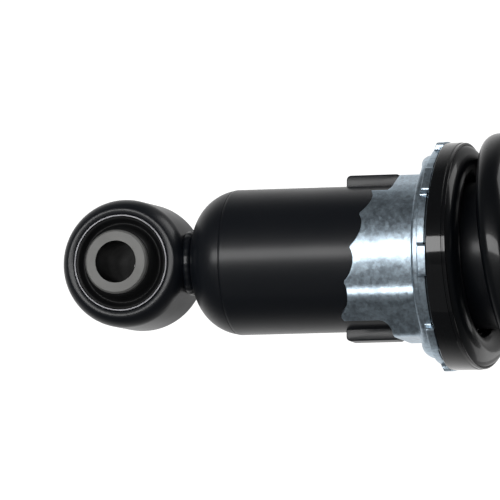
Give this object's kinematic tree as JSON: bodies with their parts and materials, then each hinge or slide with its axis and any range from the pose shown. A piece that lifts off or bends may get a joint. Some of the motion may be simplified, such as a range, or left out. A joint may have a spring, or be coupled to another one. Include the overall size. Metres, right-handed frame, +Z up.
{
  "type": "strut assembly",
  "caption": "Coil-over strut: spring over a twin-tube damper, rubber-bushed lower eye, zinc spring perch and studded upper mount.",
  "frame": {"origin": "centre of the lower eye's bolt bore", "axes": "+Z up the strut's axis towards the upper mount, +Y along the lower eye's bolt"},
  "size_m": [0.1212, 0.123, 0.5198],
  "materials": {
    "black_paint": "gloss black stove enamel over steel",
    "spring_paint": "gloss black powder coat, faintly orange-peeled",
    "zinc_plate": "bright galvanised sheet with a mottled spangle",
    "bare_steel": "turned and bright-drawn steel",
    "sleeve_steel": "machined steel, dull phosphate grey",
    "hard_chrome": "ground and chromed rod",
    "sintered_iron": "steam-treated sintered iron",
    "valve_steel": "blued spring steel shim",
    "bearing_bronze": "polymer-lined bronze",
    "band_polymer": "bronze-filled fluoropolymer",
    "bush_rubber": "natural rubber, satin black",
    "pad_rubber": "moulded rubber, faint gloss",
    "seal_rubber": "nitrile rubber",
    "stop_urethane": "microcellular urethane, cream",
    "boot_plastic": "blow-moulded polypropylene, satin black",
    "yellow_zinc": "yellow chromate zinc",
    "stud_zinc": "clear zinc on steel"
  },
  "bodies": {
    "strut_body": {"eye_ring": "black_paint", "eye_weld": "black_paint", "bush_outer_shell": "bare_steel", "bush_rubber": "bush_rubber", "base_cup": "black_paint", "reserve_tube": "black_paint", "perch_lugs": "black_paint", "spring_perch": "zinc_plate", "lower_isolator": "pad_rubber", "coil_spring": "spring_paint", "pressure_tube": "bare_steel", "base_valve_body": "sintered_iron", "base_valve_discs": "valve_steel", "base_valve_pin": "bare_steel", "rod_guide": "sintered_iron", "guide_bush": "bearing_bronze", "oil_seal": "seal_rubber", "tube_end_cap": "black_paint"},
    "bush_sleeve": {"bush_inner_sleeve": "sleeve_steel"},
    "rod_and_mount": {"piston_rod": "hard_chrome", "piston": "sintered_iron", "piston_band": "band_polymer", "compression_discs": "valve_steel", "rebound_discs": "valve_steel", "piston_nut": "bare_steel", "rebound_collar": "bare_steel", "rebound_bumper": "seal_rubber", "bump_stop": "stop_urethane", "bump_stop_cup": "black_paint", "dust_boot": "boot_plastic", "upper_isolator": "pad_rubber", "upper_spring_seat": "black_paint", "stud_plate": "black_paint", "mount_studs": "stud_zinc", "mount_rubber": "bush_rubber", "mount_spool": "bare_steel", "top_washer": "yellow_zinc", "rod_nut": "yellow_zinc"}
  },
  "joints": [
    {"name": "rod_slide", "type": "slide", "parent": "strut_body", "child": "rod_and_mount", "axis": [0, 0, 1], "range_m": [-0.082, 0], "stiffness_N_per_m": 42000, "springref_m": 0.005, "deforming": ["coil_spring"]},
    {"name": "eye_bush_twist", "type": "hinge", "parent": "strut_body", "child": "bush_sleeve", "pos_m": [0, 0, 0], "axis": [0, 1, 0], "range_deg": [-15, 15], "stiffness_Nm_per_rad": 60}
  ]
}
